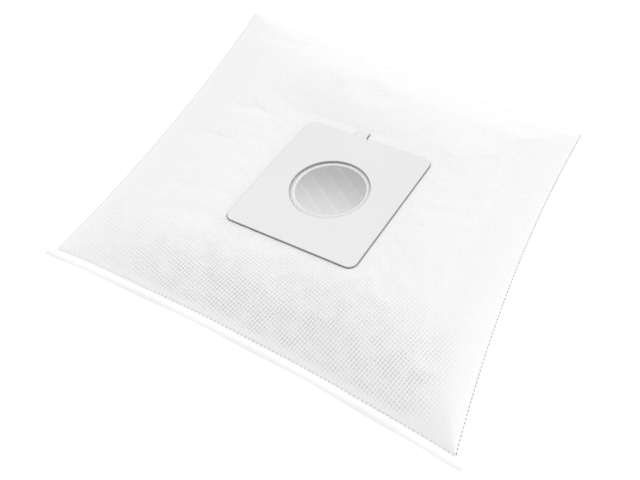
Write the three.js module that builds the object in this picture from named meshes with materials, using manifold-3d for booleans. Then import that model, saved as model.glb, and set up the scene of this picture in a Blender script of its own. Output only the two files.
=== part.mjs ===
// A vacuum cleaner's dust bag: two sheets of spunbond fabric, welded together along four seams and puffed
// into a flat pillow, with a stiff collar plate on the front sheet and a soft seal ring round its opening.
// Lengths are in millimetres. +Z is up, the bag lies on its back on z = 0, and the origin is under its middle.
// The near seam is on the -Y side, and the plate's grip tab points to the far seam, on the +Y side.
import * as THREE from "three";
import { mergeVertices } from "three/addons/utils/BufferGeometryUtils.js";
import Module from "manifold-3d";

// Outline of the bag, on its seams
const SEAM_WIDTH = 288.8; // of the near and far seams, from corner to corner
const SEAM_DEPTH = 280.4; // from the near seam's corners to the far seam's
const SKEW = 28.2; // how far the far seam has slipped towards -X
const SEAM_BOW = { near: 6.3, far: 5.3, left: 5.6, right: 7.4 }; // pull-in at the middle of each seam
const FLANGE_WIDTH = 6.8; // welded hem outside the seams
const FLANGE_WAVE = 0.9; // rise and fall of the hem's free edge
const FLANGE_WAVES = 3.5; // waves along each side of the hem
const FLANGE_WAVE_SHIFT = { left: 1, near: 2 }; // radians by which they differ from middle to end

// Heights of the seams
const SEAM_HEIGHT = 14; // of the seams' mean plane over the surface that the bag lies on
const CORNER_LIFT = { nearLeft: 0.2, farLeft: 2.5, farRight: 0.8, nearRight: -1.6 };
const SEAM_DROOP = 1; // sag at the middle of each seam

// Fabric
const SHEET_WALL = 0.8;
const WELD_GAP = 0.3; // between the two sheets outside the puffed part
const WELD_LINE_WIDTH = 1.8; // pressed line of the seam
const WELD_LINE_WALL = 0.5; // fabric left under that line
const FRONT_PUFF = 13.5; // rise of the front sheet's middle over the seams
const FRONT_SWELL = 0.25; // share by which the right side puffs more, and the left side less
const FRONT_CREST = 0.25; // how far the crest is to the right, as a share of half the width
const BACK_PUFF = 18; // depth that the back sheet would have if nothing stopped it
const BACK_FILLET = 3; // softness of the bend where it leaves the surface
const PUFF_POWER = 2; // higher is flatter in the middle and steeper at the seams

// Collar plate
const PLATE_WIDTH = 100;
const PLATE_LENGTH = 111.8;
const PLATE_WALL = 2;
const PLATE_CORNER_RADIUS = 6;
const PLATE_EDGE_BREAK = 0.35;
const PLATE_PLACE = { x: 2.6, y: -11 }; // middle of its top face, from above
const PLATE_OVER_SEAMS = 13; // height of that middle over the seams' mean plane
const PLATE_LEAN = 5.2; // degrees, right side up
const PLATE_TURN = -0.8; // degrees, seen from above
const OPENING_DIAMETER = 56.3;

// Grip tab on the plate's far edge
const TAB_WIDTH = 9;
const TAB_LENGTH = 6.5;
const TAB_OFFSET = -8; // from the plate's centre line
const TAB_CORNER_RADIUS = 1.6;

// Seal ring that lines the opening
const RING_BORE = 49.5;
const RING_WALL = 0.6;
const RING_BEAD = 0.25; // rounded lip over the ring's top
const RING_BEAD_WIDTH = 1.2;
const RING_CLEARANCE = 0.35; // to the plate's opening, all round
const FABRIC_HOLE_LAP = 1.1; // how far the ring covers the cut edge of the front sheet
const HOLE_CUT_DEPTH = 8; // length of the round punch that cuts that hole
const SEAT_GAP = 0.3; // between the fabric and what lies on it

// Blend of the flat seat under the plate into the puffed fabric
const SEAT_MARGIN = 7; // flat fabric outside the plate's outline
const SEAT_BLEND = 45;

// Fineness of the meshes
const GRID_CELLS = 28; // across the puffed part
const GRID_CROWDING = 0.35; // 0 spaces the cells evenly, 1 crowds them to the seams
const ROUND_SEGMENTS = 56;
const CORNER_SEGMENTS = 5;

const FABRIC = new THREE.MeshStandardMaterial({ color: 0xf7f7f6, roughness: 0.9, metalness: 0 });
const LINING = new THREE.MeshStandardMaterial({ color: 0xf2f2f1, roughness: 0.9, metalness: 0 });
const PLATE_PLASTIC = new THREE.MeshStandardMaterial({ color: 0xebebeb, roughness: 0.5, metalness: 0 });
const SEAL_RUBBER = new THREE.MeshStandardMaterial({ color: 0xf8f8f8, roughness: 0.35, metalness: 0 });

const wasm = await Module();
wasm.setup();

const { clamp, lerp, degToRad, smoothstep } = THREE.MathUtils;

// The plate's frame: its origin is the middle of the top face, and its Z points out of the bag.
const plateFrame = new THREE.Group();
plateFrame.position.set(PLATE_PLACE.x, PLATE_PLACE.y, SEAM_HEIGHT + PLATE_OVER_SEAMS);
plateFrame.rotation.set(0, -degToRad(PLATE_LEAN), degToRad(PLATE_TURN), "YXZ");
plateFrame.updateMatrixWorld(true);

const plateNormal = new THREE.Vector3().setFromMatrixColumn(plateFrame.matrixWorld, 2);

// Height, at a place seen from above, of the plane that lies a depth under the plate's top face.
function heightUnderPlate(x, y, depth) {
  const middle = plateFrame.position;
  const across = plateNormal.x * (x - middle.x) + plateNormal.y * (y - middle.y);
  return middle.z - (across + depth) / plateNormal.z;
}

// 1 under the plate and its margin, falling to 0 where the fabric puffs freely.
function seatShare(x, y) {
  const place = plateFrame.worldToLocal(new THREE.Vector3(x, y, heightUnderPlate(x, y, 0)));
  const outX = Math.max(Math.abs(place.x) - PLATE_WIDTH / 2, 0);
  const outY = Math.max(Math.abs(place.y) - PLATE_LENGTH / 2, 0);
  return 1 - smoothstep(Math.hypot(outX, outY), SEAT_MARGIN, SEAT_MARGIN + SEAT_BLEND);
}

// Grid lines across the bag, from one free edge to the other: u is -1 on one seam and 1 on the other,
// out is the distance outside the seam, and onSeam marks the pressed line.
function gridLines(halfSize) {
  const pressed = WELD_LINE_WIDTH / 2;
  const inside = [];
  for (let i = 1; i < GRID_CELLS; i++) {
    const even = (2 * i) / GRID_CELLS - 1;
    const crowded = Math.sin((even * Math.PI) / 2);
    inside.push({ u: lerp(even, crowded, GRID_CROWDING), out: 0, onSeam: false });
  }
  const side = (sign) => [
    { u: sign * (1 - pressed / halfSize), out: 0, onSeam: false },
    { u: sign, out: 0, onSeam: true },
    { u: sign, out: sign * pressed, onSeam: false },
    { u: sign, out: sign * FLANGE_WIDTH, onSeam: false },
  ];
  return [...side(-1).reverse(), ...inside, ...side(1)];
}

// Where a crossing of two grid lines lies, seen from above.
function placeOf(column, row) {
  const { u } = column;
  const v = row.u;
  const pullX = lerp(SEAM_BOW.left, SEAM_BOW.right, (u + 1) / 2) * (1 - v * v);
  const pullY = lerp(SEAM_BOW.near, SEAM_BOW.far, (v + 1) / 2) * (1 - u * u);
  return {
    x: u * (SEAM_WIDTH / 2 - pullX) + column.out - (v * SKEW) / 2,
    y: v * (SEAM_DEPTH / 2 - pullY) + row.out,
  };
}

// Rise of the hem's free edge at a place along it, as a share of its greatest rise.
const waveAt = (along, shift) => Math.sin(FLANGE_WAVES * Math.PI * along + shift);

// Height of the layer between the two sheets, which the seams and the flange follow.
function middleHeight(column, row) {
  const { u } = column;
  const v = row.u;
  const near = lerp(CORNER_LIFT.nearLeft, CORNER_LIFT.nearRight, (u + 1) / 2);
  const far = lerp(CORNER_LIFT.farLeft, CORNER_LIFT.farRight, (u + 1) / 2);
  const droop = SEAM_DROOP * (1 - u * u * v * v);
  const waveX = Math.abs(column.out / FLANGE_WIDTH) * waveAt(v, u * FLANGE_WAVE_SHIFT.left);
  const waveY = Math.abs(row.out / FLANGE_WIDTH) * waveAt(u, v * FLANGE_WAVE_SHIFT.near);
  return SEAM_HEIGHT + lerp(near, far, (v + 1) / 2) - droop + FLANGE_WAVE * (waveX + waveY);
}

// Share of the full puff, 0 on the seams and 1 at the crest. Each corner is a soft ridge.
function puffShare(u, v, crest) {
  const moved = (u - crest) / (1 - crest * u);
  const a = 1 - moved * moved;
  const b = 1 - v * v;
  const base = Math.sqrt(a * a + b * b - a * a * b * b);
  const reach = base > 0 ? (a * b) / base : 0;
  return 1 - (1 - clamp(reach, 0, 1)) ** PUFF_POWER;
}

// Fabric's thickness at a grid crossing.
function wallAt(column, row) {
  const onColumn = column.onSeam && row.out === 0;
  const onRow = row.onSeam && column.out === 0;
  return onColumn || onRow ? WELD_LINE_WALL : SHEET_WALL;
}

// The front sheet's outer and inner heights.
function frontHeights(column, row) {
  const { x, y } = placeOf(column, row);
  const swell = FRONT_PUFF * (1 + FRONT_SWELL * column.u);
  const inner = middleHeight(column, row) + WELD_GAP / 2 + swell * puffShare(column.u, row.u, FRONT_CREST);
  const puffed = inner + wallAt(column, row);
  const seat = heightUnderPlate(x, y, PLATE_WALL + SEAT_GAP);
  const outer = lerp(puffed, seat, seatShare(x, y));
  return { high: outer, low: outer - wallAt(column, row) };
}

// A height that never falls below zero, with a soft bend of the given size.
function restOnSurface(height, fillet) {
  if (height >= fillet) return height;
  return height <= -fillet ? 0 : (height + fillet) ** 2 / (4 * fillet);
}

// The back sheet's inner and outer heights.
function backHeights(column, row) {
  const wall = wallAt(column, row);
  const depth = BACK_PUFF * puffShare(column.u, row.u, 0);
  const outer = restOnSurface(middleHeight(column, row) - WELD_GAP / 2 - wall - depth, BACK_FILLET);
  return { high: outer + wall, low: outer };
}

// The closed solid between a sheet's two faces.
function sheetGeometry(heightsAt) {
  const columns = gridLines(SEAM_WIDTH / 2);
  const rows = gridLines(SEAM_DEPTH / 2);
  const positions = [];
  for (const face of ["high", "low"]) {
    for (const row of rows) {
      for (const column of columns) {
        const { x, y } = placeOf(column, row);
        positions.push(x, y, heightsAt(column, row)[face]);
      }
    }
  }
  const across = columns.length;
  const faceSize = across * rows.length;
  const index = [];
  const quad = (a, b, c, d) => index.push(a, b, c, a, c, d);
  for (let r = 0; r < rows.length - 1; r++) {
    for (let c = 0; c < across - 1; c++) {
      const at = r * across + c;
      quad(at, at + 1, at + across + 1, at + across);
      const under = at + faceSize;
      quad(under, under + across, under + across + 1, under + 1);
    }
  }
  const rim = [];
  for (let c = 0; c < across - 1; c++) rim.push(c);
  for (let r = 0; r < rows.length - 1; r++) rim.push(r * across + across - 1);
  for (let c = across - 1; c > 0; c--) rim.push((rows.length - 1) * across + c);
  for (let r = rows.length - 1; r > 0; r--) rim.push(r * across);
  rim.forEach((from, i) => {
    const to = rim[(i + 1) % rim.length];
    quad(from, from + faceSize, to + faceSize, to);
  });
  const geometry = new THREE.BufferGeometry();
  geometry.setAttribute("position", new THREE.Float32BufferAttribute(positions, 3));
  geometry.setIndex(index);
  return geometry;
}

function toSolid(geometry) {
  const bare = geometry.clone();
  bare.deleteAttribute("normal");
  bare.deleteAttribute("uv");
  const merged = mergeVertices(bare, 1e-4);
  return new wasm.Manifold(
    new wasm.Mesh({
      numProp: 3,
      vertProperties: new Float32Array(merged.attributes.position.array),
      triVerts: new Uint32Array(merged.index.array),
    }),
  );
}

function toGeometry(solid) {
  const mesh = solid.getMesh();
  const geometry = new THREE.BufferGeometry();
  geometry.setAttribute("position", new THREE.Float32BufferAttribute(mesh.vertProperties, 3));
  geometry.setIndex([...mesh.triVerts]);
  return geometry.toNonIndexed();
}

// The front sheet, with its round hole cut square to the plate.
function frontSheetGeometry() {
  const radius = RING_BORE / 2 + FABRIC_HOLE_LAP;
  const cutter = new THREE.CylinderGeometry(radius, radius, HOLE_CUT_DEPTH, ROUND_SEGMENTS);
  cutter.rotateX(Math.PI / 2).translate(0, 0, -PLATE_WALL - SEAT_GAP - SHEET_WALL / 2);
  cutter.applyMatrix4(plateFrame.matrixWorld);
  return toGeometry(toSolid(sheetGeometry(frontHeights)).subtract(toSolid(cutter)));
}

// Points of an arc, its two ends included.
function arcPoints(x, y, radius, from, to, segments) {
  const points = [];
  for (let i = 0; i <= segments; i++) {
    const angle = degToRad(lerp(from, to, i / segments));
    points.push(new THREE.Vector2(x + radius * Math.cos(angle), y + radius * Math.sin(angle)));
  }
  return points;
}

// The plate's outline: a rounded rectangle with the grip tab on its far edge.
function plateOutline() {
  const halfWidth = PLATE_WIDTH / 2;
  const halfLength = PLATE_LENGTH / 2;
  const r = PLATE_CORNER_RADIUS;
  const t = TAB_CORNER_RADIUS;
  const corner = (signX, signY, from) =>
    arcPoints(signX * (halfWidth - r), signY * (halfLength - r), r, from, from + 90, CORNER_SEGMENTS);
  const tabRight = TAB_OFFSET + TAB_WIDTH / 2;
  const tabLeft = TAB_OFFSET - TAB_WIDTH / 2;
  const tabTip = halfLength + TAB_LENGTH;
  return [
    ...corner(-1, -1, 180),
    ...corner(1, -1, 270),
    ...corner(1, 1, 0),
    new THREE.Vector2(tabRight, halfLength),
    ...arcPoints(tabRight - t, tabTip - t, t, 0, 90, CORNER_SEGMENTS),
    ...arcPoints(tabLeft + t, tabTip - t, t, 90, 180, CORNER_SEGMENTS),
    new THREE.Vector2(tabLeft, halfLength),
    ...corner(-1, 1, 90),
  ];
}

function plateGeometry() {
  const shape = new THREE.Shape(plateOutline());
  const opening = arcPoints(0, 0, OPENING_DIAMETER / 2, 0, 360, ROUND_SEGMENTS).slice(0, -1);
  shape.holes.push(new THREE.Path(opening));
  const geometry = new THREE.ExtrudeGeometry(shape, {
    depth: PLATE_WALL - 2 * PLATE_EDGE_BREAK,
    bevelThickness: PLATE_EDGE_BREAK,
    bevelSize: PLATE_EDGE_BREAK,
    bevelOffset: -PLATE_EDGE_BREAK,
    bevelSegments: 1,
  });
  return geometry.translate(0, 0, PLATE_EDGE_BREAK - PLATE_WALL);
}

// The ring lies on the fabric, inside the plate's opening, with a rounded lip over its bore.
function ringGeometry() {
  const bore = RING_BORE / 2;
  const rim = OPENING_DIAMETER / 2 - RING_CLEARANCE;
  const half = RING_BEAD_WIDTH / 2;
  const lip = [];
  for (let i = 0; i <= CORNER_SEGMENTS; i++) {
    const angle = Math.PI * (1 - i / CORNER_SEGMENTS);
    const rise = RING_BEAD * Math.sin(angle);
    lip.push(new THREE.Vector2(bore + half + half * Math.cos(angle), RING_WALL + rise));
  }
  const section = [new THREE.Vector2(bore, 0), new THREE.Vector2(rim, 0), new THREE.Vector2(rim, RING_WALL)];
  const profile = [...section, ...lip.reverse(), new THREE.Vector2(bore, 0)];
  const geometry = new THREE.LatheGeometry(profile, ROUND_SEGMENTS);
  return geometry.rotateX(Math.PI / 2).translate(0, 0, -PLATE_WALL);
}

function piece(name, geometry, material) {
  const mesh = new THREE.Mesh(geometry, material);
  mesh.name = name;
  return mesh;
}

const collar = new THREE.Group();
collar.position.copy(plateFrame.position);
collar.quaternion.copy(plateFrame.quaternion);
collar.add(piece("collar_plate", plateGeometry(), PLATE_PLASTIC));
collar.add(piece("seal_ring", ringGeometry(), SEAL_RUBBER));

const dustBag = new THREE.Group();
dustBag.add(piece("back_sheet", sheetGeometry(backHeights), LINING));
dustBag.add(piece("front_sheet", frontSheetGeometry(), FABRIC));
dustBag.add(collar);

export default dustBag;
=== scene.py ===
"""A vacuum cleaner's dust bag on a pale floor: two welded sheets of spunbond fabric with a collar plate.

Lengths are in metres and +Z is up. The bag lies on its back, with its near seam on the -Y side.
"""

import logging
import math
from contextlib import contextmanager
from dataclasses import dataclass, field
from enum import Enum
from typing import Callable, Iterator

import bpy
import numpy as np
from mathutils import Matrix, Vector


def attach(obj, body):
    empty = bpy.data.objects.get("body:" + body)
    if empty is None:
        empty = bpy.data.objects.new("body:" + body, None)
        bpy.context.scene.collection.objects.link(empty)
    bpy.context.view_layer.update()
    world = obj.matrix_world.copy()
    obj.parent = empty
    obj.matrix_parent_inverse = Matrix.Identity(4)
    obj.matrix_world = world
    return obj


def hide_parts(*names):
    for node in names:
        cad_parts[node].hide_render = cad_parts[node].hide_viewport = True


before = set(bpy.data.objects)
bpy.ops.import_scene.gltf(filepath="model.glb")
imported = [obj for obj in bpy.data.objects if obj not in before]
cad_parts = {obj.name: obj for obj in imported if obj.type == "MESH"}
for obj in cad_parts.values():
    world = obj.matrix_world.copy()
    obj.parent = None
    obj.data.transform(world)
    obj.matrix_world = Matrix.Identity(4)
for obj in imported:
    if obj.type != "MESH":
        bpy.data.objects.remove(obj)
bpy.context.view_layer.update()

MM = 0.001
BODY = "root"
ROUND_STEPS = 144

# The sheets' UV map, and the vertex values that the fabric's finish reads
CLOTH_UV = "cloth"
# The hem values mark where the fabric's finish paints light on the hem and shade on the near hem's free
# edge.
HEM_SHARE = "hem"
EDGE_SHARE = "hem_edge"
# The bond value also sets the painted shade on the bond points.
BOND_AND_SHADE = "bonds_and_shade"

log = logging.getLogger("dust_bag")

Array = np.ndarray
Pair = tuple[float, float]
Piece = bpy.types.Object
Material = bpy.types.Material
Socket = bpy.types.NodeSocket
Heights = Callable[["GridPlaces"], Array]


class Slot(Enum):
    """The record's material slots."""

    FABRIC = "spunbond_fabric"
    COLLAR = "collar_plastic"
    SEAL = "seal_rubber"


class Side(Enum):
    """The bag's four seams, as the direction across each, seen from above."""

    NEAR = (0, -1)
    FAR = (0, 1)
    LEFT = (-1, 0)
    RIGHT = (1, 0)


# Small helpers


def take_new_piece(name: str) -> Piece:
    """Names the object that an operator has just added, and its mesh, and returns it."""
    piece = bpy.context.object
    piece.name = name
    piece.data.name = name
    return piece


def pick(*pieces: Piece) -> None:
    """Selects pieces and nothing else. The first one becomes the active one."""
    bpy.ops.object.select_all(action="DESELECT")
    for piece in pieces:
        piece.select_set(True)
    bpy.context.view_layer.objects.active = pieces[0]


def points_of(piece: Piece) -> Array:
    """Returns a mesh's vertex coordinates as rows of x, y and z."""
    flat = np.zeros(len(piece.data.vertices) * 3)
    piece.data.vertices.foreach_get("co", flat)
    return flat.reshape(-1, 3)


def move_points(piece: Piece, points: Array) -> None:
    """Gives a mesh's vertices new coordinates."""
    piece.data.vertices.foreach_set("co", points.astype(np.float32).ravel())
    piece.data.update()


def apply_modifiers(piece: Piece) -> None:
    """Applies a piece's modifiers, from first to last."""
    pick(piece)
    for modifier in list(piece.modifiers):
        bpy.ops.object.modifier_apply(modifier=modifier.name)


def modify(piece: Piece, kind: str, **settings: object) -> None:
    """Adds a modifier of a kind with its settings, and applies it."""
    modifier = piece.modifiers.new(kind, kind)
    for name, value in settings.items():
        setattr(modifier, name, value)
    apply_modifiers(piece)


def settle(piece: Piece, place: Matrix | None = None) -> None:
    """Moves a piece's place into its mesh, so that its object sits at the origin.

    Args:
        piece: The piece.
        place: A matrix that takes the piece from where it was modelled to where it belongs.
    """
    if place is not None:
        piece.matrix_world = place @ piece.matrix_world
    pick(piece)
    bpy.ops.object.transform_apply(location=True, rotation=True, scale=True)


def shade_smooth(piece: Piece, angle: float) -> None:
    """Shades a piece smooth, apart from edges sharper than an angle in degrees."""
    pick(piece)
    bpy.ops.object.shade_smooth_by_angle(angle=math.radians(angle))


@contextmanager
def editing(piece: Piece, mode: str, chosen: Array) -> Iterator[None]:
    """Keeps a piece in edit mode for a while, at first with a choice of its parts selected.

    Args:
        piece: The piece.
        mode: VERT, EDGE or FACE.
        chosen: One truth value for each vertex, edge or face.

    Yields:
        Nothing, once, while the piece is in edit mode.
    """
    pick(piece)
    bpy.ops.object.mode_set(mode="EDIT")
    bpy.ops.mesh.select_mode(type=mode)
    bpy.ops.mesh.select_all(action="DESELECT")
    bpy.ops.object.mode_set(mode="OBJECT")
    mesh = piece.data
    parts = {"VERT": mesh.vertices, "EDGE": mesh.edges, "FACE": mesh.polygons}[mode]
    parts.foreach_set("select", np.asarray(chosen, dtype=bool))
    bpy.ops.object.mode_set(mode="EDIT")
    yield
    bpy.ops.object.mode_set(mode="OBJECT")


def hand_over(piece: Piece, slot: Slot, *nodes: str) -> None:
    """Ties a finished piece to the CAD body, and hides the nodes that it stands for."""
    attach(piece, BODY)
    if nodes:
        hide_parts(*nodes)
    log.info("%s: %d faces", piece.name, len(piece.data.polygons))


def smooth_step(value: Array, low: float, high: float) -> Array:
    """Returns 0 below low, 1 above high and a soft rise between them."""
    share = np.clip((value - low) / (high - low), 0, 1)
    return share * share * (3 - 2 * share)


def mix(low: Array | float, high: Array | float, share: Array | float) -> Array | float:
    """Returns the value a share of the way from low to high."""
    return low + (high - low) * share


def box_distance(x: Array, y: Array, half: Pair, radius: float) -> Array:
    """Works out how far places are outside a rectangle with round corners, centred on the origin.

    Args:
        x: The places' x.
        y: The places' y.
        half: Half of the rectangle's width and of its length.
        radius: The corners' radius.

    Returns:
        The distances, negative inside.
    """
    over_x = np.abs(x) - half[0] + radius
    over_y = np.abs(y) - half[1] + radius
    outside = np.hypot(np.clip(over_x, 0, None), np.clip(over_y, 0, None))
    return outside + np.clip(np.maximum(over_x, over_y), None, 0) - radius


# Finishes


class NodeGraph:
    """A material's node tree, with short calls to add and join its nodes."""

    def __init__(self, name: str) -> None:
        """Starts a material with one principled shader."""
        self.material = bpy.data.materials.new(name)
        self.material.use_nodes = True
        self.nodes = self.material.node_tree.nodes
        self.links = self.material.node_tree.links
        self.shader = self.nodes["Principled BSDF"]

    def add(self, kind: str, inputs: dict | None = None, **settings) -> bpy.types.Node:
        """Adds a node.

        Args:
            kind: The node's type, without the ShaderNode that it starts with.
            inputs: Values or sockets for its inputs, by name or number.
            **settings: The node's own properties.

        Returns:
            The node.
        """
        node = self.nodes.new("ShaderNode" + kind)
        for key, value in settings.items():
            setattr(node, key, value)
        for key, value in (inputs or {}).items():
            self.join(value, node.inputs[key])
        return node

    def join(self, value: object, socket: Socket) -> None:
        """Links a socket to an input, or sets the input's own value."""
        if isinstance(value, Socket):
            self.links.new(value, socket)
        else:
            socket.default_value = value

    def shade(self, inputs: dict[str, object]) -> Material:
        """Gives the shader's inputs values or sockets by name, and returns the finished material."""
        for name, value in inputs.items():
            self.join(value, self.shader.inputs[name])
        return self.material

    def attribute(self, name: str) -> Socket:
        """Returns a value that the mesh's vertices carry."""
        return self.add("Attribute", attribute_name=name).outputs["Fac"]

    def vector(self, operation: str, first: object, second: object) -> Socket:
        """Adds a VectorMath node with two vectors, and returns its result."""
        node = self.add("VectorMath", {0: first, 1: second}, operation=operation)
        return node.outputs["Value" if operation == "DOT_PRODUCT" else "Vector"]

    def math(self, operation: str, *values: object) -> Socket:
        """Adds a Math node and returns its result."""
        return self.add("Math", dict(enumerate(values)), operation=operation).outputs[0]

    def blend(self, low: tuple, high: tuple, share: object) -> Socket:
        """Mixes two colours and returns the result."""
        node = self.add("Mix", data_type="RGBA")
        for socket, value in ((node.inputs[0], share), (node.inputs[6], low), (node.inputs[7], high)):
            self.join(value, socket)
        return node.outputs[2]

    def fade(self, value: object, start: float, end: float, low: float, high: float) -> Socket:
        """Maps a value softly, from low at start to high at end, and returns the result."""
        node = self.add("MapRange", {0: value, 1: start, 2: end, 3: low, 4: high})
        node.interpolation_type = "SMOOTHSTEP"
        return node.outputs[0]

    def noise(self, vector: object, size: float, detail: float, roughness: float = 0.5) -> Socket:
        """Adds a noise whose spots have a given size, and returns its value from 0 to 1."""
        inputs = {"Vector": vector, "Scale": 1 / size, "Detail": detail, "Roughness": roughness}
        return self.add("TexNoise", inputs).outputs[0]

    def patches(self, place: object, size: float, low: float, high: float) -> Socket:
        """Returns a value that drifts from low to high, in patches of a given size."""
        return self.fade(self.noise(place, size, 2.0), 0.35, 0.62, low, high)

    def bump(self, height: object, distance: float, strength: float, under: object = None) -> Socket:
        """Adds a bump, over another one if it is given, and returns the normal."""
        inputs = {"Height": height, "Distance": distance, "Strength": strength}
        if under is not None:
            inputs["Normal"] = under
        return self.add("Bump", inputs).outputs[0]


def grey(tone: float) -> tuple[float, float, float, float]:
    """Returns a neutral colour."""
    return (tone, tone, tone, 1.0)


@dataclass(frozen=True)
class SpunbondFabric:
    """White spunbond fabric: matted fibres, pressed together at a lattice of small oval points.

    How clearly the points stand out comes from the sheet's vertices; their darker colour is partly their
    own and partly painted shade, strongest on the near slope.
    The hem is thin and pressed flat; its lighter colour and faint glow are painted light for the table's
    light coming through it, with painted shade at the near hem's free edge, which hangs down.
    """

    name: str = "spunbond_fabric"
    tone: float = 0.86
    bond_tone: float = 0.79
    hem_lit_tone: float = 0.93
    hem_painted_glow: float = 0.05
    hem_edge_shade_tone: float = 0.865
    bond_pitch: Pair = (2.2 * MM, 2.4 * MM)
    bond_turn: float = -15.0
    bond_sharpness: Pair = (2.2, 0.6)
    bond_depth: float = 0.52 * MM
    bond_polish: float = 0.25
    patch_size: float = 11 * MM
    patch_share: Pair = (0.75, 1.15)
    fibre_size: float = 0.45 * MM
    fibre_depth: float = 0.05 * MM
    fibre_strength: float = 0.6
    mottle_size: float = 3.5 * MM
    mottle: float = 0.04
    roughness: float = 0.82
    sheen: float = 0.15
    sheen_roughness: float = 0.5
    specular: float = 0.25

    def bonds_and_shade(self, graph: NodeGraph, place: Socket) -> Socket:
        """Returns 1 in the middle of each bond point, falling to 0 between them."""
        turn = (0.0, 0.0, math.radians(-self.bond_turn))
        turned = graph.add("Mapping", {"Vector": place, "Rotation": turn}).outputs[0]
        split = graph.add("SeparateXYZ", {0: turned}).outputs
        waves = []
        for axis, pitch, sharpness in zip(split, self.bond_pitch, self.bond_sharpness):
            wave = graph.math("COSINE", graph.math("MULTIPLY", axis, 2 * math.pi / pitch))
            waves.append(graph.math("POWER", graph.math("MULTIPLY_ADD", wave, 0.5, 0.5), sharpness))
        patch = graph.patches(place, self.patch_size, *self.patch_share)
        # Painted shade: the points' darker colour shows most where the vertices say the light grazes.
        shown = graph.math("MULTIPLY", graph.attribute(BOND_AND_SHADE), patch)
        return graph.math("MULTIPLY", graph.math("MULTIPLY", *waves), shown)

    def build(self) -> Material:
        """Returns the material."""
        graph = NodeGraph(self.name)
        place = graph.add("UVMap", uv_map=CLOTH_UV).outputs[0]
        hem, edge = graph.attribute(HEM_SHARE), graph.attribute(EDGE_SHARE)
        bond = self.bonds_and_shade(graph, place)
        cloud = graph.noise(place, self.mottle_size, 4.0, 0.7)
        matted = graph.blend(grey(self.tone - self.mottle), grey(self.tone + self.mottle), cloud)
        # The bond points' darker colour: partly their own tone, partly painted shade.
        colour = graph.blend(matted, grey(self.bond_tone), bond)
        # Painted light: the hem is lighter, for the table's light coming through it, and painted shade
        # darkens the near hem's free edge.
        lit_hem_colour = graph.blend(grey(self.hem_lit_tone), grey(self.hem_edge_shade_tone), edge)
        fibre = graph.noise(place, self.fibre_size, 3.0, 0.65)
        under = graph.bump(fibre, self.fibre_depth, self.fibre_strength)
        between = graph.math("SUBTRACT", 1.0, bond)
        lit = graph.math("SUBTRACT", hem, edge)
        return graph.shade({
            "Base Color": graph.blend(colour, lit_hem_colour, hem),
            # Painted light: a faint glow on the hem, away from the near free edge.
            "Emission Color": graph.blend(grey(0.0), grey(self.hem_painted_glow), lit),
            "Emission Strength": 1.0,
            "Normal": graph.bump(between, self.bond_depth, 1.0, under),
            "Roughness": graph.math("MULTIPLY_ADD", bond, -self.bond_polish, self.roughness),
            "Sheen Weight": self.sheen,
            "Sheen Roughness": self.sheen_roughness,
            "Specular IOR Level": self.specular,
        })


@dataclass(frozen=True)
class QuiltedLining:
    """The filter layer inside the bag, in soft ridges.

    Its glow is painted light, for the light that comes through the fabric, and it fades as painted shade
    towards the bag's far side.
    """

    name: str = "quilted_lining"
    tone: float = 0.7
    ridge_tone: float = 0.86
    ridge_pitch: float = 10.9 * MM
    ridge_turn: float = -32.5
    ridge_place: Pair = (-21.6 * MM, 23.3 * MM)
    ridge_width: float = 0.12
    ridge_cover: float = 0.85
    ridge_depth: float = 0.5 * MM
    ridge_strength: float = 0.5
    cross_turn: float = 50.0
    cross_pitch: float = 13.5 * MM
    cross_share: float = 0.22
    fibre_size: float = 0.7 * MM
    fibre_depth: float = 0.12 * MM
    fibre_strength: float = 0.7
    roughness: float = 0.9
    patch_size: float = 8 * MM
    patch_share: Pair = (0.25, 1.0)
    wander_size: float = 14 * MM
    wander: float = 1.3 * MM
    glow: Pair = (0.215, 0.13)
    glow_way: tuple[float, float, float] = (-0.1, 0.995, 0.0)
    glow_band: Pair = (-14 * MM, 30 * MM)

    def lines(self, graph: NodeGraph, place: object, turn: float, pitch: float) -> Socket:
        """Returns 1 on a set of parallel lines, falling to 0 between them."""
        angle = math.radians(turn)
        across = (-math.sin(angle), math.cos(angle), 0.0)
        start = across[0] * self.ridge_place[0] + across[1] * self.ridge_place[1]
        reach = graph.vector("DOT_PRODUCT", place, across)
        moved = graph.math("MULTIPLY_ADD", reach, 1 / pitch, -start / pitch)
        away = graph.math("ABSOLUTE", graph.math("SUBTRACT", moved, graph.math("ROUND", moved)))
        return graph.fade(away, 0.0, self.ridge_width, 1.0, 0.0)

    def build(self) -> Material:
        """Returns the material."""
        graph = NodeGraph(self.name)
        place = graph.add("TexCoord").outputs["Object"]
        inputs = {"Vector": place, "Scale": 1 / self.wander_size, "Detail": 2.0}
        drift = graph.add("TexNoise", inputs).outputs["Color"]
        centred = graph.vector("SUBTRACT", drift, (0.5, 0.5, 0.5))
        offset = graph.vector("MULTIPLY", centred, (2 * self.wander,) * 3)
        wandered = graph.vector("ADD", place, offset)
        main = self.lines(graph, wandered, self.ridge_turn, self.ridge_pitch)
        cross = self.lines(graph, wandered, self.cross_turn, self.cross_pitch)
        patch = graph.patches(place, self.patch_size, *self.patch_share)
        lines = graph.math("MAXIMUM", main, graph.math("MULTIPLY", cross, self.cross_share))
        ridge = graph.math("MULTIPLY", lines, patch)
        shown = graph.math("MULTIPLY", ridge, self.ridge_cover)
        fibre = graph.noise(place, self.fibre_size, 4.0, 0.7)
        under = graph.bump(fibre, self.fibre_depth, self.fibre_strength)
        along = graph.vector("DOT_PRODUCT", place, self.glow_way)
        return graph.shade({
            "Base Color": graph.blend(grey(self.tone), grey(self.ridge_tone), shown),
            "Normal": graph.bump(ridge, self.ridge_depth, self.ridge_strength, under),
            "Roughness": self.roughness,
            "Emission Color": grey(1.0),
            # Painted light: a glow for light through the fabric, weaker towards the far side.
            "Emission Strength": graph.fade(along, *self.glow_band, *self.glow),
        })


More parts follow.
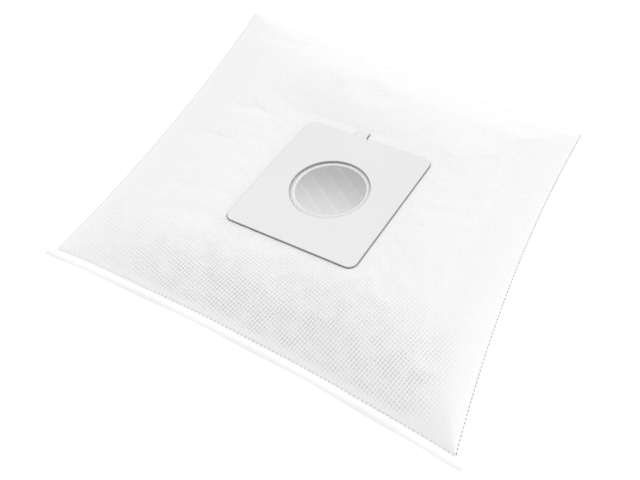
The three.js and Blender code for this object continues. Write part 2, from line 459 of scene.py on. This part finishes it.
@dataclass(frozen=True)
class MouldedPlastic:
    """Smooth semi-matt plastic with a faint grain."""

    name: str
    tone: float
    roughness: float = 0.42
    roughness_range: float = 0.12
    specular: float = 0.4
    grain_size: float = 0.35 * MM
    grain_depth: float = 0.012 * MM
    grain_strength: float = 0.5
    flow_size: float = 45 * MM
    flow: float = 0.018

    def build(self) -> Material:
        """Returns the material."""
        graph = NodeGraph(self.name)
        place = graph.add("TexCoord").outputs["Object"]
        flow = graph.noise(place, self.flow_size, 2.0)
        grain = graph.noise(place, self.grain_size, 2.0)
        low, high = grey(self.tone * (1 - self.flow)), grey(self.tone * (1 + self.flow))
        smoothest = self.roughness - self.roughness_range / 2
        return graph.shade({
            "Base Color": graph.blend(low, high, flow),
            "Roughness": graph.math("MULTIPLY_ADD", grain, self.roughness_range, smoothest),
            "Normal": graph.bump(grain, self.grain_depth, self.grain_strength),
            "Specular IOR Level": self.specular,
        })


@dataclass(frozen=True)
class PaleFloor:
    """A pale studio table, bright enough to leave only a trace of a shadow."""

    name: str = "pale_floor"
    tone: float = 0.3
    cloud: float = 0.01
    cloud_size: float = 1 / 3
    roughness: float = 0.9
    glow: float = 0.86

    def build(self) -> Material:
        """Returns the material."""
        graph = NodeGraph(self.name)
        place = graph.add("TexCoord").outputs["Object"]
        cloud = graph.noise(place, self.cloud_size, 2.0)
        return graph.shade({
            "Base Color": graph.blend(grey(self.tone * (1 - self.cloud)), grey(self.tone), cloud),
            "Roughness": self.roughness,
            "Emission Color": grey(1.0),
            "Emission Strength": self.glow,
        })


# The bag's shape


@dataclass(frozen=True)
class GridLines:
    """Lines across a sheet from one free edge to the other, closer together at the seams."""

    half_size: float
    flange: float
    spacing: float = 2.0 * MM
    seam_band: float = 3.0 * MM
    seam_spacing: float = 0.5 * MM
    hem_spacing: float = 0.65 * MM

    def build(self) -> tuple[Array, Array]:
        """Works out the lines.

        Returns:
            For each line, its place u, which is -1 on one seam and 1 on the other, and how far it is
            outside the seam.
        """
        inner = self.half_size - self.seam_band
        plain = np.linspace(-inner, inner, 2 * round(inner / self.spacing) + 1)
        band = np.linspace(inner, self.half_size, round(self.seam_band / self.seam_spacing) + 1)[1:]
        outside = np.linspace(0, self.flange, round(self.flange / self.hem_spacing) + 1)[1:]
        inside = np.concatenate([-band[::-1], plain, band]) / self.half_size
        ones = np.ones(len(outside))
        u = np.concatenate([-ones, inside, ones])
        return u, np.concatenate([-outside[::-1], np.zeros(len(inside)), outside])


@dataclass
class GridPlaces:
    """Where a sheet's vertices lie on the bag."""

    u: Array
    v: Array
    out_x: Array
    out_y: Array
    x: Array
    y: Array


@dataclass(frozen=True)
class BagShape:
    """The sizes of the bag and the form of its two sheets."""

    seam_width: float = 288.8 * MM
    seam_depth: float = 280.4 * MM
    skew: float = 28.2 * MM
    bow_left_right: Pair = (5.6 * MM, 7.4 * MM)
    bow_near_far: Pair = (6.3 * MM, 5.3 * MM)
    flange: float = 6.8 * MM
    flange_wave: float = 0.9 * MM
    flange_waves: float = 3.5
    flange_wave_shift: Pair = (1.0, 2.0)
    flange_droop: float = 0.8 * MM
    flange_wall_share: float = 0.45
    seam_height: float = 14 * MM
    near_lift: Pair = (0.2 * MM, -1.6 * MM)
    far_lift: Pair = (2.5 * MM, 0.8 * MM)
    seam_droop: float = 1 * MM
    wall: float = 0.8 * MM
    weld_gap: float = 0.08 * MM
    weld_groove: float = 0.1 * MM
    weld_line: Pair = (0.4 * MM, 1.4 * MM)
    near_edge: Pair = (0.4, 0.95)
    # Where the bond points show most, in bump and in painted shade: the near slope, which the light
    # grazes.
    grazing_light_y: Pair = (-125 * MM, -50 * MM)
    grazing_light_left: Pair = (-125 * MM, -20 * MM)
    grazing_light_left_share: float = 0.25
    grazing_light_right: Pair = (118 * MM, 142 * MM)
    steep_light_share: float = 0.28
    calm_width: float = 7 * MM
    front_puff: float = 13.5 * MM
    front_swell: float = 0.25
    front_crest: float = 0.25
    back_puff: float = 18 * MM
    back_fillet: float = 3 * MM
    puff_power: float = 2.0
    plate_size: tuple[float, float, float] = (100 * MM, 111.8 * MM, 2 * MM)
    plate_place: Pair = (2.6 * MM, -11 * MM)
    plate_over_seams: float = 13 * MM
    plate_lean: float = 5.2
    plate_turn: float = -0.8
    plate_corner: float = 6 * MM
    plate_swell: float = 1.1 * MM
    plate_swell_band: Pair = (0.0, 0.7 * MM)
    tab_size: Pair = (9 * MM, 6.5 * MM)
    tab_corner: float = 1.6 * MM
    tab_offset: float = -8 * MM
    opening: float = 56.3 * MM
    ring_bore: float = 49.5 * MM
    hole_lap: float = 1.1 * MM
    seat_gap: float = 0.3 * MM
    seat_margin: float = 7 * MM
    seat_blend: float = 45 * MM

    @property
    def plate_matrix(self) -> Matrix:
        """The plate's frame: its origin is the middle of the top face."""
        place = Matrix.Translation((*self.plate_place, self.seam_height + self.plate_over_seams))
        lean = Matrix.Rotation(-math.radians(self.plate_lean), 4, "Y")
        return place @ lean @ Matrix.Rotation(math.radians(self.plate_turn), 4, "Z")

    @property
    def flat_size(self) -> Pair:
        """Width and length that each sheet was cut to."""
        return self.seam_width + 2 * self.flange, self.seam_depth + 2 * self.flange

    def place(self, u: Array, v: Array, out_x: Array, out_y: Array) -> GridPlaces:
        """Places grid crossings in the bag's outline, seen from above.

        Args:
            u: Place across the bag, -1 on the left seam and 1 on the right one.
            v: Place along the bag, -1 on the near seam and 1 on the far one.
            out_x: Distance outside the left or right seam.
            out_y: Distance outside the near or far seam.

        Returns:
            The crossings with their x and y.
        """
        pull_x = mix(*self.bow_left_right, (u + 1) / 2) * (1 - v * v)
        pull_y = mix(*self.bow_near_far, (v + 1) / 2) * (1 - u * u)
        x = u * (self.seam_width / 2 - pull_x) + out_x - v * self.skew / 2
        y = v * (self.seam_depth / 2 - pull_y) + out_y
        return GridPlaces(u, v, out_x, out_y, x, y)

    def middle_height(self, at: GridPlaces) -> Array:
        """Returns the height of the layer between the sheets, which the seams and the hem follow."""
        near = mix(*self.near_lift, (at.u + 1) / 2)
        far = mix(*self.far_lift, (at.u + 1) / 2)
        droop = self.seam_droop * (1 - at.u**2 * at.v**2)
        share_x = np.abs(at.out_x) / self.flange
        share_y = np.abs(at.out_y) / self.flange
        turns = self.flange_waves * math.pi
        wave_x = share_x * np.sin(turns * at.v + self.flange_wave_shift[0] * at.u)
        wave_y = share_y * np.sin(turns * at.u + self.flange_wave_shift[1] * at.v)
        droop = droop + self.flange_droop * np.maximum(share_x, share_y) ** 2
        lift = mix(near, far, (at.v + 1) / 2)
        return self.seam_height + lift - droop + self.flange_wave * (wave_x + wave_y)

    def puff_share(self, u: Array, v: Array, crest: float) -> Array:
        """Returns the share of the full puff: 0 on the seams, 1 at the crest, ridged to each corner."""
        moved = (u - crest) / (1 - crest * u)
        a = np.clip(1 - moved**2, 0, 1)
        b = np.clip(1 - v**2, 0, 1)
        base = np.sqrt(np.clip(a**2 + b**2 - a**2 * b**2, 1e-12, None))
        return 1 - (1 - np.clip(a * b / base, 0, 1)) ** self.puff_power

    def plate_local(self, x: Array, y: Array, z: Array) -> Array:
        """Returns places in the plate's frame, as rows of x, y and z."""
        turned = np.array(self.plate_matrix.inverted())
        return np.stack([x, y, z], 1) @ turned[:3, :3].T + turned[:3, 3]

    def height_under_plate(self, x: Array, y: Array, depth: float) -> Array:
        """Returns the height of the plane that lies a depth under the plate's top face."""
        matrix = self.plate_matrix
        middle, normal = matrix.translation, matrix.to_3x3().col[2]
        across = normal.x * (x - middle.x) + normal.y * (y - middle.y)
        return middle.z - (across + depth) / normal.z

    def on_plate(self, x: Array, y: Array) -> tuple[Array, Array]:
        """Returns places on the plane of the plate's face, as distances across and along the plate."""
        local = self.plate_local(x, y, self.height_under_plate(x, y, 0.0))
        return local[:, 0], local[:, 1]

    def seat_share(self, x: Array, y: Array) -> Array:
        """Returns 1 under the plate and its margin, falling to 0 where the fabric puffs freely."""
        width, length, _ = self.plate_size
        outside = box_distance(*self.on_plate(x, y), (width / 2, length / 2), 0.0)
        return 1 - smooth_step(outside, self.seat_margin, self.seat_margin + self.seat_blend)

    def plate_distance(self, x: Array, y: Array) -> Array:
        """Returns how far places are outside the outline of the plate and its tab, negative inside."""
        across, along = self.on_plate(x, y)
        width, length, _ = self.plate_size
        half_tab = (self.tab_size[0] / 2, self.tab_size[1])
        plate = box_distance(across, along, (width / 2, length / 2), self.plate_corner)
        tab = box_distance(across - self.tab_offset, along - length / 2, half_tab, self.tab_corner)
        return np.minimum(plate, tab)

    def swell_round_plate(self, x: Array, y: Array) -> Array:
        """Returns how far the fabric swells up just outside the plate, which is pressed into it."""
        swell = self.plate_swell * smooth_step(self.plate_distance(x, y), *self.plate_swell_band)
        return swell * self.seat_share(x, y)

    def inside_seams(self, at: GridPlaces) -> Array:
        """Returns how far places are from the nearest seam, inside the bag, and 0 on the hem."""
        inside_x = (1 - np.abs(at.u)) * self.seam_width / 2
        return np.minimum(inside_x, (1 - np.abs(at.v)) * self.seam_depth / 2)

    def hem_share(self, at: GridPlaces) -> Array:
        """Returns 1 on the hem outside the seams, and 0 inside them."""
        outside = np.maximum(np.abs(at.out_x), np.abs(at.out_y))
        return smooth_step(outside, 0.0, self.weld_line[1])

    def near_edge_share(self, at: GridPlaces) -> Array:
        """Returns 1 on the near hem's free edge, falling to 0 towards the seam."""
        return smooth_step(-at.out_y / self.flange, *self.near_edge)

    def bond_and_shade_share(self, at: GridPlaces) -> Array:
        """Returns how clearly the bond points stand out, in bump and in painted shade: most on the near
        slope, where the light grazes.
        """
        near = 1 - smooth_step(at.y, *self.grazing_light_y)
        left = mix(self.grazing_light_left_share, 1.0, smooth_step(at.x, *self.grazing_light_left))
        right = 1 - smooth_step(at.x, *self.grazing_light_right)
        shown = mix(self.steep_light_share, 1.0, near * left * right)
        return shown * smooth_step(self.inside_seams(at), 0.0, self.calm_width)

    def groove(self, at: GridPlaces) -> Array:
        """Returns 1 on the pressed line of the four seams, falling to 0 beside them."""
        from_x = np.abs(at.out_x) + (1 - np.abs(at.u)) * self.seam_width / 2
        from_y = np.abs(at.out_y) + (1 - np.abs(at.v)) * self.seam_depth / 2
        line_x = (1 - smooth_step(from_x, *self.weld_line)) * (at.out_y == 0)
        line_y = (1 - smooth_step(from_y, *self.weld_line)) * (at.out_x == 0)
        return np.maximum(line_x, line_y)

    def wall_share(self, at: GridPlaces) -> Array:
        """Returns the share of the fabric's wall that the welding press has left at each place."""
        hem = mix(1.0, self.flange_wall_share, self.hem_share(at))
        return np.minimum(hem, 1 - self.weld_groove / self.wall * self.groove(at))

    def front_height(self, at: GridPlaces) -> Array:
        """Returns the height of the front sheet's outer face."""
        swell = self.front_puff * (1 + self.front_swell * at.u)
        rise = swell * self.puff_share(at.u, at.v, self.front_crest)
        puffed = self.middle_height(at) + self.weld_gap / 2 + rise + self.wall * self.wall_share(at)
        seat = self.height_under_plate(at.x, at.y, self.plate_size[2] + self.seat_gap)
        return mix(puffed, seat, self.seat_share(at.x, at.y))

    def rest_on_surface(self, height: Array) -> Array:
        """Returns heights that never fall below zero, with a soft bend."""
        bend = (height + self.back_fillet) ** 2 / (4 * self.back_fillet)
        bent = np.where(height <= -self.back_fillet, 0.0, bend)
        return np.where(height >= self.back_fillet, height, bent)

    def back_height(self, at: GridPlaces) -> Array:
        """Returns the height of the back sheet's inner face."""
        depth = self.back_puff * self.puff_share(at.u, at.v, 0.0)
        outer = self.middle_height(at) - self.weld_gap / 2 - self.wall - depth
        return self.rest_on_surface(outer) + self.wall


# The pieces


@dataclass(frozen=True)
class ClothSettings:
    """How a sheet is blown up inside its seams, and how far it may move, which is less near them."""

    frames: int = 20
    quality: int = 3
    mass: float = 0.12
    pressure: float = 4.0
    slack: float = 0.006
    tension: float = 18.0
    shear: float = 6.0
    bending: float = 0.6
    reach: float = 1.8 * MM
    calm_band: Pair = (1 * MM, 38 * MM)


@dataclass
class FabricSheet:
    """One of the bag's two sheets of fabric."""

    name: str
    node: str
    shape: BagShape
    height: Heights
    outer: Material
    inner: Material
    inner_face_up: bool
    cloth: ClothSettings = field(default_factory=ClothSettings)
    fine_band: Pair = (-1.2 * MM, 2.2 * MM)
    fine_cuts: int = 5
    weld_width: float = 0.4 * MM
    seated_share: float = 0.995
    rest_margin: float = 0.05 * MM

    def lay_grid(self) -> tuple[Piece, GridPlaces]:
        """Adds a grid and lays it over the bag's form.

        Returns:
            The sheet's one face, and the places of its vertices.
        """
        shape = self.shape
        lines_u, out_u = GridLines(shape.seam_width / 2, shape.flange).build()
        lines_v, out_v = GridLines(shape.seam_depth / 2, shape.flange).build()
        columns, rows = len(lines_u) - 1, len(lines_v) - 1
        bpy.ops.mesh.primitive_grid_add(x_subdivisions=columns, y_subdivisions=rows, size=2)
        piece = take_new_piece(self.name)
        start = points_of(piece)
        column = np.rint((start[:, 0] + 1) / 2 * columns).astype(int)
        row = np.rint((start[:, 1] + 1) / 2 * rows).astype(int)
        at = shape.place(lines_u[column], lines_v[row], out_u[column], out_v[row])
        move_points(piece, np.stack([at.x, at.y, self.height(at)], 1))
        self.write_uv(piece, at)
        return piece, at

    def write_uv(self, piece: Piece, at: GridPlaces) -> None:
        """Gives the sheet a UV map in metres on the flat cloth, and the values that its finish reads."""
        mesh, shape = piece.data, self.shape
        mesh.uv_layers[0].name = CLOTH_UV
        corner = np.zeros(len(mesh.loops), dtype=np.int32)
        mesh.loops.foreach_get("vertex_index", corner)
        flat_x = at.u * shape.seam_width / 2 + at.out_x - at.v * shape.skew / 2
        flat_y = at.v * shape.seam_depth / 2 + at.out_y
        flat = np.stack([flat_x, flat_y], 1)[corner]
        mesh.uv_layers[CLOTH_UV].data.foreach_set("uv", flat.ravel())
        shares = (shape.hem_share, shape.near_edge_share, shape.bond_and_shade_share)
        for name, share_at in zip((HEM_SHARE, EDGE_SHARE, BOND_AND_SHADE), shares):
            values = mesh.attributes.new(name, "FLOAT", "POINT")
            values.data.foreach_set("value", share_at(at).astype(np.float32))

    def held_share(self, at: GridPlaces) -> Array:
        """Returns 1 where the sheet is welded or pressed under the plate, and 0 where it is free."""
        weld = self.weld_width / (self.shape.seam_width / 2)
        edge = np.maximum(np.abs(at.u), np.abs(at.v)) > 1 - weld
        if self.inner_face_up:
            seated = self.height(at) < self.shape.wall + self.rest_margin
        else:
            seated = self.shape.seat_share(at.x, at.y) > self.seated_share
        return (edge | seated).astype(float)

    def blow_up(self, piece: Piece, at: GridPlaces) -> None:
        """Simulates the sheet under the air in the bag, and keeps each vertex near its place."""
        rest = points_of(piece)
        held = piece.vertex_groups.new(name="held")
        for index in np.flatnonzero(self.held_share(at)):
            held.add([int(index)], 1.0, "REPLACE")
        cloth = self.cloth
        modifier = piece.modifiers.new("Cloth", "CLOTH")
        settings = modifier.settings
        settings.quality = cloth.quality
        settings.mass = cloth.mass
        settings.tension_stiffness = settings.compression_stiffness = cloth.tension
        settings.shear_stiffness = cloth.shear
        settings.bending_stiffness = cloth.bending
        settings.use_pressure = True
        settings.uniform_pressure_force = -cloth.pressure if self.inner_face_up else cloth.pressure
        settings.shrink_min = -cloth.slack
        settings.effector_weights.gravity = 0
        settings.vertex_group_mass = held.name
        modifier.point_cache.frame_start = 1
        modifier.point_cache.frame_end = cloth.frames
        scene = bpy.context.scene
        for number in range(1, cloth.frames + 1):
            scene.frame_set(number)
        apply_modifiers(piece)
        scene.frame_set(1)
        piece.vertex_groups.remove(piece.vertex_groups["held"])
        step = points_of(piece) - rest
        length = np.linalg.norm(step, axis=1, keepdims=True)
        log.info("%s: cloth moved up to %.1f mm before the cap", self.name, length.max() / MM)
        step *= cloth.reach / (cloth.reach + length)
        step *= smooth_step(self.shape.inside_seams(at), *cloth.calm_band)[:, None]
        moved = rest + step
        moved[:, 2] = np.maximum(moved[:, 2], self.shape.wall if self.inner_face_up else 0.0)
        move_points(piece, moved)

    def swell_up(self, piece: Piece) -> None:
        """Divides the faces along the plate's outline, and swells the fabric up round the plate."""
        centres = np.array([polygon.center for polygon in piece.data.polygons])
        distance = self.shape.plate_distance(*centres.T[:2])
        low, high = self.fine_band
        with editing(piece, "FACE", (distance > low) & (distance < high)):
            bpy.ops.mesh.subdivide(number_cuts=self.fine_cuts)
        points = points_of(piece)
        points[:, 2] += self.shape.swell_round_plate(*points.T[:2])
        move_points(piece, points)

    def write_walls(self, piece: Piece, at: GridPlaces) -> None:
        """Gives each vertex the share of the wall that the welding press has left there."""
        group = piece.vertex_groups.new(name="wall")
        for index, share in enumerate(self.shape.wall_share(at)):
            group.add([index], float(share), "REPLACE")

    def thicken(self, piece: Piece) -> None:
        """Gives the sheet its wall, with its two faces in their own materials."""
        faces = (self.inner, self.outer) if self.inner_face_up else (self.outer, self.inner)
        for material in faces:
            piece.data.materials.append(material)
        slots = {"material_offset": 1, "material_offset_rim": faces.index(self.outer)}
        modify(piece, "SOLIDIFY", thickness=self.shape.wall, offset=-1, vertex_group="wall", **slots)

    def cut_hole(self, piece: Piece) -> None:
        """Cuts the round hole under the collar, square to the plate."""
        radius = self.shape.ring_bore / 2 + self.shape.hole_lap
        local = self.shape.plate_local(*points_of(piece).T)
        with editing(piece, "VERT", np.hypot(local[:, 0], local[:, 1]) < radius):
            bpy.ops.mesh.delete(type="VERT")
        mesh = piece.data
        edge_at = np.zeros(len(mesh.loops), dtype=np.int32)
        mesh.loops.foreach_get("edge_index", edge_at)
        ends = np.array([edge.vertices[:] for edge in mesh.edges])
        open_ends = np.unique(ends[np.bincount(edge_at, minlength=len(ends)) == 1])
        local = self.shape.plate_local(*points_of(piece).T)
        away = np.hypot(local[:, 0], local[:, 1])
        rim = open_ends[away[open_ends] < 2 * radius]
        local[rim, :2] *= (radius / away[rim])[:, None]
        matrix = np.array(self.shape.plate_matrix)
        points = points_of(piece)
        points[rim] = local[rim] @ matrix[:3, :3].T + matrix[:3, 3]
        move_points(piece, points)

    def build(self) -> Piece:
        """Makes the finished sheet.

        Returns:
            The piece, tied to the node that it stands for.
        """
        piece, at = self.lay_grid()
        self.write_walls(piece, at)
        self.blow_up(piece, at)
        if not self.inner_face_up:
            self.swell_up(piece)
            self.cut_hole(piece)
        self.thicken(piece)
        shade_smooth(piece, angle=50)
        hand_over(piece, Slot.FABRIC, self.node)
        return piece


@dataclass
class WeldMarks:
    """The row of short melted marks along each seam.

    Their dark tone is partly the melted plastic's own and partly painted shade for the pressed pits; it
    is darkest along the right seam, and lightest at the near seam's left end.
    """

    shape: BagShape
    materials: dict[Side, Material]
    name: str = "weld_marks"
    pitch: float = 2.85 * MM
    length: float = 1.85 * MM
    width: float = 0.95 * MM
    proud: float = 0.12 * MM
    edge_round: float = 0.3 * MM
    unevenness: float = 0.1
    turn_spread: float = 0.04
    samples: int = 2001
    faint_left: float = -55 * MM
    seed: int = 11

    def seam_points(self, side: Side) -> Array:
        """Returns evenly spaced places along a seam's middle layer."""
        fine = np.linspace(-1, 1, self.samples)
        zero = np.zeros_like(fine)
        u, v = (zero + way if way else fine for way in side.value)
        at = self.shape.place(u, v, zero, zero)
        line = np.stack([at.x, at.y, self.shape.middle_height(at)], 1)
        run = np.concatenate([[0], np.cumsum(np.linalg.norm(np.diff(line, axis=0), axis=1))])
        count = int(run[-1] / self.pitch)
        wanted = (np.arange(count) + 0.5) * run[-1] / count
        return np.stack([np.interp(wanted, run, line[:, axis]) for axis in range(3)], 1)

    def one_mark(self) -> Piece:
        """Models a single mark at the origin, long along X."""
        depth = self.shape.weld_gap + 2 * (self.shape.wall - self.shape.weld_groove + self.proud)
        bpy.ops.mesh.primitive_cube_add(size=1)
        mark = take_new_piece("weld_mark")
        mark.scale = (self.length, self.width, depth)
        settle(mark)
        modify(mark, "BEVEL", width=self.edge_round, segments=2)
        return mark

    def build(self) -> Piece:
        """Copies the mark along the four seams, as one piece."""
        mark = self.one_mark()
        for material in self.materials.values():
            mark.data.materials.append(material)
        chance = np.random.default_rng(self.seed)
        copies = []
        sides = list(self.materials)
        for side in sides:
            points = self.seam_points(side)
            for place, ahead in zip(points, np.gradient(points, axis=0)):
                copy = mark.copy()
                copy.data = mark.data.copy()
                faint = side is Side.NEAR and place[0] < self.faint_left
                slot = sides.index(Side.LEFT if faint else side)
                for polygon in copy.data.polygons:
                    polygon.material_index = slot
                turn = math.atan2(ahead[1], ahead[0]) + chance.normal(0, self.turn_spread)
                stretch = Matrix.Diagonal((*chance.normal(1, self.unevenness, 2), 1, 1))
                copy.matrix_world = Matrix.Translation(place) @ Matrix.Rotation(turn, 4, "Z") @ stretch
                bpy.context.scene.collection.objects.link(copy)
                copies.append(copy)
        bpy.data.objects.remove(mark)
        pick(*copies)
        bpy.ops.object.join()
        piece = take_new_piece(self.name)
        settle(piece)
        shade_smooth(piece, angle=40)
        hand_over(piece, Slot.FABRIC)
        return piece


@dataclass
class CollarPlate:
    """The stiff plate on the front sheet, with its opening and its grip tab."""

    shape: BagShape
    face: Material
    # The darker plastic of the side faces: painted shade.
    edge: Material
    name: str = "collar_with_tab"
    edge_round: float = 0.3 * MM
    opening_shift: Pair = (-0.22 * MM, -0.55 * MM)
    notch_width: float = 3.4 * MM
    notch_depth: float = 1.3 * MM
    corner_segments: int = 14
    tab_segments: int = 6
    side_slope: float = 0.3

    def add_block(self, name: str, low: Pair, high: Pair) -> Piece:
        """Adds a flat block of the plate's thickness, whose top is at z = 0.

        Args:
            name: The block's name.
            low: Its corner with the lowest x and y.
            high: Its corner with the highest x and y.

        Returns:
            The block.
        """
        wall = self.shape.plate_size[2]
        bpy.ops.mesh.primitive_cube_add(size=1)
        block = take_new_piece(name)
        block.location = ((low[0] + high[0]) / 2, (low[1] + high[1]) / 2, -wall / 2)
        block.scale = (high[0] - low[0], high[1] - low[1], wall)
        settle(block)
        return block

    def round_corners(self, block: Piece, radius: float, segments: int, from_y: float) -> None:
        """Rounds a block's upright edges whose y is more than from_y."""
        mesh = block.data
        chosen = []
        for edge in mesh.edges:
            a, b = (mesh.vertices[i].co for i in edge.vertices)
            chosen.append(abs(a.z - b.z) > self.shape.plate_size[2] / 2 and a.y > from_y)
        with editing(block, "EDGE", chosen):
            bpy.ops.mesh.bevel(offset=radius, segments=segments, affect="EDGES")

    def combine(self, piece: Piece, other: Piece, operation: str) -> None:
        """Joins another solid to the piece, or cuts it out, and removes it."""
        modify(piece, "BOOLEAN", object=other, operation=operation, solver="EXACT")
        bpy.data.objects.remove(other)

    def build(self) -> Piece:
        """Makes the finished plate."""
        shape = self.shape
        width, length, wall = shape.plate_size
        half_width, half_length = width / 2, length / 2
        piece = self.add_block(self.name, (-half_width, -half_length), (half_width, half_length))
        self.round_corners(piece, shape.plate_corner, self.corner_segments, -length)
        tab_width, tab_length = shape.tab_size
        left, right = shape.tab_offset - tab_width / 2, shape.tab_offset + tab_width / 2
        tab = self.add_block("tab", (left, half_length - tab_length), (right, half_length + tab_length))
        self.round_corners(tab, shape.tab_corner, self.tab_segments, half_length)
        self.combine(piece, tab, "UNION")
        depth, middle = 3 * wall, (*self.opening_shift, 0)
        bpy.ops.mesh.primitive_cylinder_add(
            vertices=ROUND_STEPS, radius=shape.opening / 2, depth=depth, location=middle
        )
        self.combine(piece, take_new_piece("opening"), "DIFFERENCE")
        bpy.ops.mesh.primitive_cylinder_add(vertices=3, depth=depth, rotation=(0, 0, math.pi))
        notch = take_new_piece("notch")
        notch.scale = (self.notch_width / math.sqrt(3), self.notch_depth * 4 / 3, 1)
        notch.location = (right + self.notch_width / 2, half_length, 0)
        settle(notch)
        self.combine(piece, notch, "DIFFERENCE")
        sharp = {"limit_method": "ANGLE", "angle_limit": math.radians(50)}
        modify(piece, "BEVEL", width=self.edge_round, segments=3, **sharp)
        shade_smooth(piece, angle=60)
        modify(piece, "WEIGHTED_NORMAL", keep_sharp=True)
        piece.data.materials.append(self.face)
        piece.data.materials.append(self.edge)
        # Painted shade: the steep side faces get the darker edge plastic, for cut edges that face away
        # from the light.
        for polygon in piece.data.polygons:
            polygon.material_index = int(abs(polygon.normal.z) < self.side_slope)
        settle(piece, shape.plate_matrix)
        hand_over(piece, Slot.COLLAR, "collar_plate")
        return piece


@dataclass
class SealRing:
    """The soft ring in the plate's opening, which slopes down to a thin skirt at its rim."""

    shape: BagShape
    material: Material
    name: str = "seal_lip"
    clearance: float = 0.7 * MM
    wall: float = 0.6 * MM
    skirt: float = 0.12 * MM
    bead: float = 0.25 * MM
    bead_width: float = 1.2 * MM
    bead_steps: int = 9
    weld_distance: float = 0.001 * MM

    def section(self) -> list[Pair]:
        """Returns the ring's section as distances from the axis and heights over the fabric."""
        bore = self.shape.ring_bore / 2
        rim = self.shape.opening / 2 - self.clearance
        half = self.bead_width / 2
        turn = np.linspace(0, math.pi, self.bead_steps)
        lip = zip(bore + half + half * np.cos(turn), self.wall + self.bead * np.sin(turn))
        return [(bore, 0.0), (rim, 0.0), (rim, self.skirt), *lip]

    def build(self) -> Piece:
        """Spins the section round the opening's axis."""
        section = self.section()
        bpy.ops.mesh.primitive_circle_add(vertices=len(section), fill_type="NOTHING")
        piece = take_new_piece(self.name)
        move_points(piece, np.array([(r, 0.0, z) for r, z in section]))
        with editing(piece, "VERT", np.ones(len(section))):
            bpy.ops.mesh.spin(steps=ROUND_STEPS, angle=2 * math.pi, center=(0, 0, 0), axis=(0, 0, 1))
            bpy.ops.mesh.select_all(action="SELECT")
            bpy.ops.mesh.remove_doubles(threshold=self.weld_distance)
            bpy.ops.mesh.normals_make_consistent(inside=False)
        piece.data.materials.append(self.material)
        settle(piece, self.shape.plate_matrix @ Matrix.Translation((0, 0, -self.shape.plate_size[2])))
        shade_smooth(piece, angle=40)
        hand_over(piece, Slot.SEAL, "seal_ring")
        return piece


# The studio


@dataclass(frozen=True)
class SoftLight:
    """A large soft light: its strength, where it stands and how wide it looks, in degrees."""

    name: str
    strength: float
    azimuth: float
    elevation: float
    softness: float


LIGHTS = (
    SoftLight("key_light", strength=1.0, azimuth=150.0, elevation=25.0, softness=50.0),
    SoftLight("side_light", strength=0.35, azimuth=245.0, elevation=40.0, softness=15.0),
)
# Tones of the weld marks by seam: partly the melted plastic, partly painted shade for the pressed pits.
WELD_AND_SHADE_TONES = {Side.NEAR: 0.55, Side.FAR: 0.66, Side.LEFT: 0.7, Side.RIGHT: 0.4}


@dataclass
class Studio:
    """Camera, floor and soft light."""

    lens: float = 48.69
    sensor: float = 36.0
    azimuth: float = 30.629
    elevation: float = 50.254
    distance: float = 579.932 * MM
    target: tuple[float, float, float] = (14.492 * MM, -44.915 * MM, 14.0 * MM)
    floor_size: float = 40.0
    ambient: float = 0.87

    def direction(self, azimuth: float, elevation: float) -> Vector:
        """Returns the direction from the bag to a place seen at an azimuth and elevation in degrees."""
        a, e = math.radians(azimuth), math.radians(elevation)
        return Vector((math.sin(a) * math.cos(e), -math.cos(a) * math.cos(e), math.sin(e)))

    def place_camera(self) -> None:
        """Puts the camera where the photograph was taken."""
        data = bpy.data.cameras.new("camera")
        data.lens = self.lens
        data.sensor_width = self.sensor
        data.sensor_fit = "HORIZONTAL"
        camera = bpy.data.objects.new("camera", data)
        back = self.direction(self.azimuth, self.elevation)
        camera.location = Vector(self.target) + back * self.distance
        camera.rotation_euler = (-back).to_track_quat("-Z", "Y").to_euler()
        bpy.context.scene.collection.objects.link(camera)
        bpy.context.scene.camera = camera

    def lay_floor(self) -> None:
        """Lays the floor under the bag."""
        bpy.ops.mesh.primitive_plane_add(size=self.floor_size)
        floor = take_new_piece("studio_floor")
        floor.data.materials.append(PaleFloor().build())

    def hang_lights(self) -> None:
        """Adds the two soft lights and the even light of the room."""
        for lamp in LIGHTS:
            data = bpy.data.lights.new(lamp.name, "SUN")
            data.energy = lamp.strength
            data.angle = math.radians(lamp.softness)
            light = bpy.data.objects.new(lamp.name, data)
            towards = self.direction(lamp.azimuth, lamp.elevation)
            light.rotation_euler = towards.to_track_quat("Z", "Y").to_euler()
            bpy.context.scene.collection.objects.link(light)
        world = bpy.data.worlds.new("room")
        world.use_nodes = True
        background = world.node_tree.nodes["Background"]
        background.inputs["Color"].default_value = grey(1.0)
        background.inputs["Strength"].default_value = self.ambient
        bpy.context.scene.world = world

    def build(self) -> None:
        """Sets up the whole studio."""
        self.place_camera()
        self.lay_floor()
        self.hang_lights()
        view = bpy.context.scene.view_settings
        view.view_transform = "Standard"
        view.look = "None"


def main() -> None:
    """Builds the studio and the bag, piece by piece."""
    logging.basicConfig(level=logging.INFO, format="%(name)s: %(message)s")
    Studio().build()
    shape = BagShape()
    finish = (SpunbondFabric().build(), QuiltedLining().build())
    back_sheet = FabricSheet("back_fabric", "back_sheet", shape, shape.back_height, *finish, True)
    front_sheet = FabricSheet("front_fabric", "front_sheet", shape, shape.front_height, *finish, False)
    back, front = back_sheet.build(), front_sheet.build()
    weld_and_shade_finishes = {}
    for side, tone in WELD_AND_SHADE_TONES.items():
        weld_and_shade_finishes[side] = MouldedPlastic(f"{side.name.lower()}_weld", tone, roughness=0.5).build()
    marks = WeldMarks(shape, weld_and_shade_finishes).build()
    face = MouldedPlastic("collar_face", 0.775).build()
    # Painted shade: a darker copy of the collar plastic for the plate's side faces.
    edge = MouldedPlastic("collar_edge_painted_shade", 0.4, roughness=0.6).build()
    CollarPlate(shape, face, edge).build()
    SealRing(shape, MouldedPlastic("seal_rubber", 0.84, roughness=0.35).build()).build()


if __name__ == "__main__":
    main()
